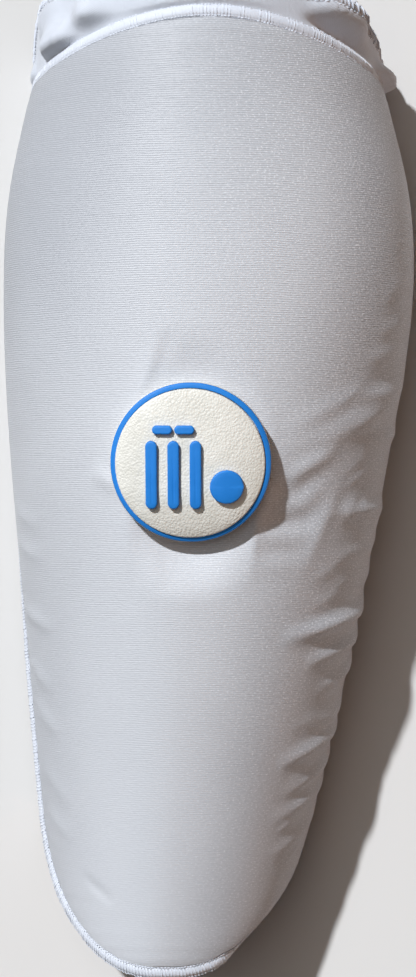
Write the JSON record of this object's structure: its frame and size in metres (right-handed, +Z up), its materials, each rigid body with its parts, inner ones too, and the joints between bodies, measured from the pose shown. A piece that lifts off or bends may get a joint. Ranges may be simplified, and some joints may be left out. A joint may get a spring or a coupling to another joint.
{
  "type": "cricket forearm guard",
  "caption": "Padded forearm guard: a curved foam shield in ribbed stretch cloth on a flat back panel, with a gathered elbow cuff, overlocked edge and round moulded badge.",
  "frame": {"origin": "middle of the guard's bounding box, on the surface that the back panel lies on", "axes": "+X across the arm, +Y along the arm from wrist to elbow, +Z up out of the padded face"},
  "size_m": [0.1076, 0.2568, 0.0633],
  "materials": {
    "cover": "ribbed satin stretch cloth, silver white",
    "thread": "white overlock thread",
    "sleeve": "plain white stretch cloth",
    "badge_cream": "soft moulded plastic with a fine leather grain",
    "badge_blue": "soft moulded plastic, satin"
  },
  "bodies": {
    "root": {"front_pad": "cover", "edge_seam": "thread", "back_panel": "sleeve", "elbow_cuff": "sleeve", "cuff_hem": "thread", "badge_base": "badge_cream", "badge_rim": "badge_blue", "badge_stump_1": "badge_blue", "badge_stump_2": "badge_blue", "badge_stump_3": "badge_blue", "badge_bail_1": "badge_blue", "badge_bail_2": "badge_blue", "badge_ball": "badge_blue"}
  },
  "joints": []
}
